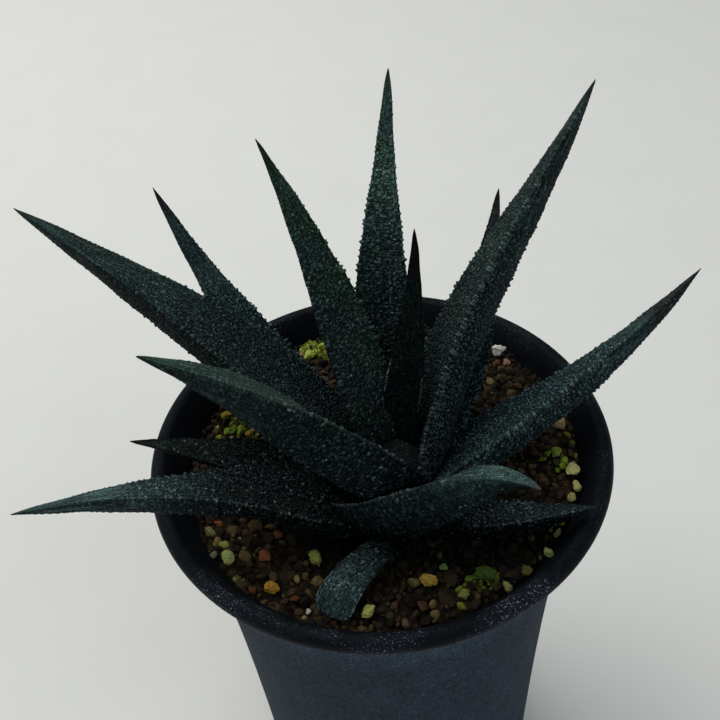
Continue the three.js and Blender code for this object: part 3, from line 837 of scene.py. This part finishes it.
def leaf_piece(name, number):
    """A leaf, with its tubercles raised on its mesh."""
    shape = LeafShape({**LEAF_DEFAULTS, **LEAVES[name]})
    skin = {**SKIN_DEFAULTS, **SKINS[name]}
    rng = np.random.default_rng(LEAF_SEED + number)
    points, triangles, s, u, side = leaf_mesh(shape, skin["step"], skin["back_step"])
    normals = point_normals(points, triangles)
    groups = [field_tubercles(shape, skin, is_back, rng) for is_back in (False, True)]
    groups += [line_tubercles(shape, skin, line, rng) for line in TOOTH_START]
    tubercles = [np.concatenate(columns) for columns in zip(*groups)]
    lift, raised, pale = raise_tubercles(shape, points, normals, tubercles, skin["height"])
    for line, start, end, strength in skin["lines"]:
        if line in LINE_PLACE:
            on_line = np.isclose(u, LINE_PLACE[line]) & (s > start) & (s < end)
            pale = np.maximum(pale, on_line * strength * skin["edge"])
    phases = rng.uniform(0, 2 * math.pi, len(SWELL_WAVES))
    swell = SWELL * sum(np.sin(s * along + u * across + phase)
                        for (along, across), phase in zip(SWELL_WAVES, phases))
    width = shape.leaf["width"]
    skin_place = np.stack([s * shape.lengths[-1], u * width / 2, side * 2 * width], 1) * MM
    # under: how far each point faces down, for the painted shade underneath
    attributes = {"pale": pale, "raised": raised, "along": s, "back": side, "skin_place": skin_place,
                  "under": smooth_step(-normals[:, 2], -0.5, 0.35)}
    piece = mesh_object(name + "_skin", points + normals * (lift + swell)[:, None], triangles, attributes,
                        smooth=False)
    install(piece, leaf_material(name + "_skin", skin), name)


# Pot
def inside_line(clearance):
    """The wall's inside from the lip down to the floor, drawn in by a clearance."""
    floor = (POT_HEIGHT - BASE_THICKNESS - clearance, FOOT_RADIUS - WALL_THICKNESS)
    return np.array([(radius - clearance, POT_HEIGHT - depth) for depth, radius in [*WALL_INSIDE, floor]])


def radius_at(line, height):
    """The radius at a height on a line of (radius, height) points that runs down."""
    return np.interp(height, line[::-1, 1], line[::-1, 0])


def pot():
    outside = [(radius, POT_HEIGHT - depth) for depth, radius in reversed(WALL_OUTSIDE)]
    outside = rounded([(FOOT_RADIUS, FOOT_ROUNDING), *outside], 2)
    angles = np.radians(np.linspace(LIP_START, LIP_END, LIP_STEPS))
    lip_centre = (RIM_RADIUS - LIP_RADIUS, POT_HEIGHT - LIP_RADIUS)
    lip = np.stack([np.cos(angles), np.sin(angles)], 1) * LIP_RADIUS + lip_centre
    foot = rounded([(FOOT_RADIUS - 2 * FOOT_ROUNDING, 0), (FOOT_RADIUS, 0), outside[0]], 2)
    line = closer(np.vstack([foot, outside[1:], lip, rounded(inside_line(0), 2)[1:]]), WALL_STEP)
    points, triangles = turned(np.vstack([[(0, 0)], line, [(0, BASE_THICKNESS)]]), POT_SIDES)
    wall_middle = radius_at(inside_line(0), points[:, 2]) + WALL_THICKNESS / 2
    is_outside = np.hypot(points[:, 0], points[:, 1]) > wall_middle
    is_outside &= points[:, 2] < POT_HEIGHT - LIP_DEPTH
    piece = mesh_object("pot_shell", points, triangles, {"outside": is_outside})
    cut_drain_holes(piece)
    install(piece, pot_material(), "pot")


def cut_drain_holes(piece):
    """Cuts the round holes through the pot's base."""
    cutter_mesh = bmesh.new()
    for i in range(DRAIN_HOLES):
        turn = 2 * math.pi * i / DRAIN_HOLES
        centre = Vector((math.cos(turn), math.sin(turn), 0)) * DRAIN_CIRCLE_RADIUS * MM
        bmesh.ops.create_cone(cutter_mesh, cap_ends=True, segments=DRAIN_HOLE_SIDES,
                              radius1=DRAIN_HOLE_RADIUS * MM, radius2=DRAIN_HOLE_RADIUS * MM,
                              depth=4 * BASE_THICKNESS * MM, matrix=Matrix.Translation(centre))
    mesh = bpy.data.meshes.new("drain_holes")
    cutter_mesh.to_mesh(mesh)
    cutter_mesh.free()
    cutter = placed("drain_holes", mesh)
    modifier = piece.modifiers.new("drain_holes", "BOOLEAN")
    modifier.operation = "DIFFERENCE"
    modifier.solver = "EXACT"
    modifier.object = cutter
    applied = bpy.data.meshes.new_from_object(piece.evaluated_get(bpy.context.evaluated_depsgraph_get()))
    piece.modifiers.clear()
    piece.data = applied
    bpy.data.objects.remove(cutter)
    clean_slivers(applied)


def clean_slivers(mesh):
    """Closes up the slivers that a cut leaves, and makes every face a triangle."""
    cleaned = bmesh.new()
    cleaned.from_mesh(mesh)
    bmesh.ops.remove_doubles(cleaned, verts=cleaned.verts, dist=SLIVER * MM)
    bmesh.ops.dissolve_degenerate(cleaned, edges=cleaned.edges, dist=SLIVER * MM)
    bmesh.ops.triangulate(cleaned, faces=cleaned.faces)
    cleaned.to_mesh(mesh)
    cleaned.free()


# Soil
def clay_tint(rng):
    """One grain's colour: mostly dark brown, with some olive, ochre and straw grains."""
    tint = list(CLAY_TINTS)[rng.choice(len(CLAY_TINTS), p=list(CLAY_TINTS.values()))]
    return shaded(hex_colour(tint), rng.uniform(0.6, 1.7))


def moss_tint(rng):
    return shaded(hex_colour(MOSS_TINTS[rng.integers(len(MOSS_TINTS))]), rng.uniform(0.5, 1.2))


def painted_soil_shade(x, y, shading_trees):
    """How much darker the soil is painted close to the plant and under its low leaves, as painted shadow."""
    away = math.hypot(x - STEM_PLACE[0], y - STEM_PLACE[1])
    place = Vector((x, y, soil_height(x, y)))
    covered = min(tree.find_nearest(place)[3] for tree in shading_trees)
    unshaded = min(smooth_step(away, PAINTED_SHADE_TO, PAINTED_SHADE_FROM), smooth_step(covered, LEAF_SHADE_TO, LEAF_SHADE_FROM))
    return PAINTED_SHADE_LEVEL + (1 - PAINTED_SHADE_LEVEL) * unshaded


def grain_tint(x, y, shading_trees, rng):
    """The colour of a grain at a place: it may be mossy in the mossy patches, and is painted darker in the
    plant's shadow.
    """
    draw = rng.uniform()
    for centre_x, centre_y, reach, share in MOSS_PATCHES:
        away = math.hypot(x - centre_x, y - centre_y) / reach
        if away < 1 and draw < share * (1 - away**2):
            return moss_tint(rng)
    return shaded(clay_tint(rng), painted_soil_shade(x, y, shading_trees))


def stone(rng, subdivisions, cuts=9):
    """Points and triangles of an angular stone of half length 1: a ball with flats worn on it."""
    ball = bmesh.new()
    bmesh.ops.create_icosphere(ball, subdivisions=subdivisions, radius=1)
    points = np.array([v.co for v in ball.verts])
    triangles = np.array([[v.index for v in f.verts] for f in ball.faces])
    ball.free()
    for _ in range(cuts):
        flat = rng.normal(size=3)
        flat /= np.linalg.norm(flat)
        over = points @ flat - rng.uniform(0.5, 0.85)
        points = points - np.outer(np.maximum(0, over), flat)
    points = points * (1 + rng.uniform(-0.16, 0.1, (len(points), 1)))
    points = points * (1, rng.uniform(0.7, 0.95), rng.uniform(0.6, 0.85))
    return points / np.abs(points).max(), triangles


def turned_at_random(points, rng):
    spin = Matrix.Rotation(rng.uniform(0, 2 * math.pi), 3, "Z")
    tilt = Matrix.Rotation(rng.normal(0, 0.5), 3, "X")
    return points @ np.array(spin @ tilt).T


def soil_bed(shading_trees):
    """The whole bed of soil as one closed solid, with lumps over its top, and its radius there."""
    rng = np.random.default_rng(BED_SEED)
    level = POT_HEIGHT - SOIL_DEPTH_BELOW_RIM
    wall = inside_line(SOIL_GAP)
    top_radius = radius_at(wall, level)
    side = wall[wall[:, 1] < level - BED_SIDE_DEPTH]
    rings = round(top_radius / BED_STEP)
    sides = 4 * round(2 * math.pi * top_radius / BED_STEP / 4)
    top = np.stack([np.linspace(0, top_radius, rings), np.full(rings, POT_HEIGHT)], 1)
    points, triangles = turned(np.vstack([top, closer(side, BED_SIDE_STEP), [(0, side[-1][1])]]), sides)
    on_top = points[:, 2] == POT_HEIGHT
    x, y = points[:, 0], points[:, 1]
    tree = KDTree(len(points))
    for index in np.flatnonzero(on_top):
        tree.insert((x[index], y[index], 0), index)
    tree.balance()

    lumps = rng.uniform(-top_radius, top_radius, (round((2 * top_radius / LUMP_SPACING) ** 2), 2))
    height = np.zeros(len(points))
    tint = np.tile(hex_colour(BED_COLOUR), (len(points), 1))
    for (lump_x, lump_y), size in zip(lumps, rng.uniform(*LUMP_RADII, len(lumps))):
        colour = shaded(clay_tint(rng), LUMP_SHADE * painted_soil_shade(lump_x, lump_y, shading_trees))
        for _, index, distance in tree.find_range((lump_x, lump_y, 0), size):
            lift = math.sqrt(size * size - distance * distance) * LUMP_RISE
            if lift > height[index]:
                height[index] = lift
                tint[index] = colour
    surface = soil_height(x, y) - BED_SINK + height
    surface -= BED_EDGE_SINK * smooth_step(np.hypot(x, y), top_radius - BED_EDGE_WIDTH, top_radius)
    points[:, 2] = np.where(on_top, surface, points[:, 2])
    return mesh_object("soil_bed", points, triangles, {"tint": tint}), top_radius


def solid_tree(node):
    """A search tree of a node of the model, in millimetres."""
    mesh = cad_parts[node].data
    mesh.calc_loop_triangles()
    corners = [tuple(v.co / MM) for v in mesh.vertices]
    return BVHTree.FromPolygons(corners, [tuple(t.vertices) for t in mesh.loop_triangles])


def is_clear(trees, place, radius):
    """Whether a grain neither lies in a solid nor reaches far into one."""
    for tree in trees:
        spot, normal, _, distance = tree.find_nearest(Vector(place), radius + CLEAR_REACH)
        if spot is None:
            continue
        if distance < GRAIN_CLEARANCE * radius or (Vector(place) - spot).dot(normal) < 0:
            return False
    return True


def scattered(rng, top_radius, trees, taken):
    """Places and sizes of grains, the largest first, that touch but hardly overlap, seen from above."""
    cell_size = 2 * GRAIN_SIZES[0][0]
    grid = {}

    def cell(x, y):
        return int(x // cell_size), int(y // cell_size)

    def add(x, y, radius):
        grid.setdefault(cell(x, y), []).append((x, y, radius))

    def fits(x, y, radius):
        column, row = cell(x, y)
        cells = [(column + i, row + j) for i in (-1, 0, 1) for j in (-1, 0, 1)]
        return all(math.hypot(x - other_x, y - other_y) >= GRAIN_OVERLAP * (radius + other)
                   for near in cells for other_x, other_y, other in grid.get(near, ()))

    for grain in taken:
        add(*grain)
    found = []
    for size, count in GRAIN_SIZES:
        for _ in range(count * GRAIN_TRIES):
            radius = size * rng.uniform(*GRAIN_SPREAD)
            away = (top_radius - 0.6 * radius) * math.sqrt(rng.uniform())
            turn = rng.uniform(0, 2 * math.pi)
            x, y = away * math.cos(turn), away * math.sin(turn)
            if not fits(x, y, radius):
                continue
            z = soil_height(x, y) + rng.uniform(*GRAIN_LEVELS)
            if is_clear(trees, (x, y, z), radius):
                add(x, y, radius)
                found.append((x, y, z, radius))
    return found


def cushion(x, y, reach, rise, count, rng):
    """Crumbs of moss heaped in a low dome: places and sizes."""
    found = []
    for _ in range(count):
        away = math.sqrt(rng.uniform())
        turn = rng.uniform(0, 2 * math.pi)
        place_x = x + reach * away * math.cos(turn)
        place_y = y + reach * away * math.sin(turn)
        z = soil_height(place_x, place_y) + rise * (1 - away**2) + rng.uniform(-0.2, 0.2)
        found.append((place_x, place_y, z, rng.uniform(0.3, 0.6)))
    return found


def footprint(node):
    """The middle and the half width of a node, seen from above."""
    low, high = node_box(node)
    return (low.x + high.x) / 2, (low.y + high.y) / 2, (high.x - low.x) / 2


def soil(clay):
    """The bed, and over it the stones, grains and crumbs of moss as one piece."""
    shading_trees = [solid_tree(name) for name in SHADING_LEAVES]
    bed, top_radius = soil_bed(shading_trees)
    rng = np.random.default_rng(GRAIN_SEED)
    styles = [stone(rng, 2) for _ in range(GRAIN_STYLES)]
    crumbs = [stone(rng, 1, cuts=4) for _ in range(GRAIN_STYLES)]
    trees = [solid_tree(name) for name in [*LEAVES, "stem"]]
    taken = [(x, y, 0.9 * half) for x, y, half in map(footprint, PEBBLE_COLOURS)]
    grains = []
    for x, y, radius, colour in STONES:
        taken.append((x, y, radius))
        grains.append((x, y, soil_height(x, y) + 0.5 * radius, radius, hex_colour(colour)))
    for x, y, z, radius in scattered(rng, top_radius, trees, taken):
        grains.append((x, y, z, radius, grain_tint(x, y, shading_trees, rng)))
    for *place, shade in [*CUSHIONS, (*footprint("pebble_moss"), *MOUND)]:
        grains += [(*crumb, shaded(moss_tint(rng), shade)) for crumb in cushion(*place, rng)]

    points, triangles, tints = [], [], []
    count = 0
    for x, y, z, radius, colour in grains:
        shape, faces = (crumbs if radius < CRUMB_SIZE else styles)[rng.integers(GRAIN_STYLES)]
        points.append(turned_at_random(shape, rng) * radius + (x, y, z))
        triangles.append(faces + count)
        tints.append(np.tile(colour, (len(shape), 1)))
        count += len(shape)
    scatter = mesh_object("soil_grains", np.vstack(points), np.vstack(triangles),
                          {"tint": np.vstack(tints)}, smooth=False)
    for piece in (bed, scatter):
        install(piece, clay, "soil")


def pebbles(clay):
    """The larger loose stones, each where its node lies."""
    for number, (node, colour) in enumerate(PEBBLE_COLOURS.items()):
        rng = np.random.default_rng(PEBBLE_SEED + number)
        low, high = node_box(node)
        points, triangles = stone(rng, 3, cuts=14)
        half = np.array(high - low) / 2 * PEBBLE_FIT.get(node, (1, 1, 1))
        points = points / np.abs(points).max(axis=0) * half
        points = points + 0.03 * half.max() * np.sin(points @ rng.normal(size=(3, 3)) * 6)
        points = points + np.array(low + high) / 2
        tint = np.tile(hex_colour(colour), (len(points), 1))
        piece = mesh_object(node + "_stone", points, triangles, {"tint": tint}, smooth=False)
        install(piece, clay, node)


def stem():
    """The short stem, topped by the tight dark bases of the youngest leaves."""
    line = closer(rounded(CROWN_PROFILE, 2), CROWN_STEP)
    points, triangles = turned(np.vstack([[(0, 0)], line, [(0, CROWN_TOP)]]), CROWN_SIDES)
    turn = np.arctan2(points[:, 1], points[:, 0])
    height = points[:, 2]
    ridges = np.abs(np.sin(2.5 * turn + 0.12 * height))
    ridges += 0.5 * np.abs(np.sin(3.5 * turn - 0.3 * height + 1))
    folds = 2 * ridges - 2 + 0.3 * np.sin(5 * height + 3 * turn)
    lean = smooth_step(height, 0, CROWN_LEAN_HEIGHT)[:, None]
    points = points * (1 + CROWN_RELIEF * folds[:, None] * (1, 1, 0))
    points[:, :2] += lean * CROWN_LEAN
    piece = mesh_object("stem_crown", points + STEM_PLACE, triangles, smooth=False)
    install(piece, stem_material(), "stem")


# Surroundings
def camera():
    data = bpy.data.cameras.new("camera")
    data.lens = CAMERA_LENS
    data.sensor_width = CAMERA_SENSOR
    pose = Matrix.Translation(Vector(CAMERA_PLACE) * MM)
    for degrees, axis in ((CAMERA_TURN, "Z"), (90 + CAMERA_PITCH, "X"), (CAMERA_ROLL, "Z")):
        pose = pose @ Matrix.Rotation(math.radians(degrees), 4, axis)
    view = placed("camera", data)
    view.matrix_world = pose
    bpy.context.scene.camera = view


def area_light(name, place, size, power, colour):
    data = bpy.data.lights.new(name, "AREA")
    data.shape = "DISK"
    data.size = size
    data.energy = power
    data.color = colour
    light = placed(name, data)
    light.location = place
    light.rotation_euler = (Vector(LIGHT_TARGET) - Vector(place)).to_track_quat("-Z", "Y").to_euler()


def surroundings():
    mesh = bpy.data.meshes.new("floor")
    corners = [(x * FLOOR_HALF, y * FLOOR_HALF, 0) for x, y in ((-1, -1), (1, -1), (1, 1), (-1, 1))]
    mesh.from_pydata(corners, [], [(0, 1, 2, 3)])
    mesh.materials.append(floor_material())
    placed("floor", mesh)
    for light in LIGHTS:
        area_light(*light)
    world = bpy.data.worlds.new("world")
    world.use_nodes = True
    sky = world.node_tree.nodes["Background"].inputs
    sky["Color"].default_value = SKY_COLOUR
    sky["Strength"].default_value = SKY_STRENGTH
    bpy.context.scene.world = world
    bpy.context.scene.view_settings.view_transform = "Standard"


camera()
surroundings()
for leaf_number, leaf_name in enumerate(LEAVES):
    leaf_piece(leaf_name, leaf_number)
pot()
granular_clay = grain_material()
soil(granular_clay)
pebbles(granular_clay)
stem()
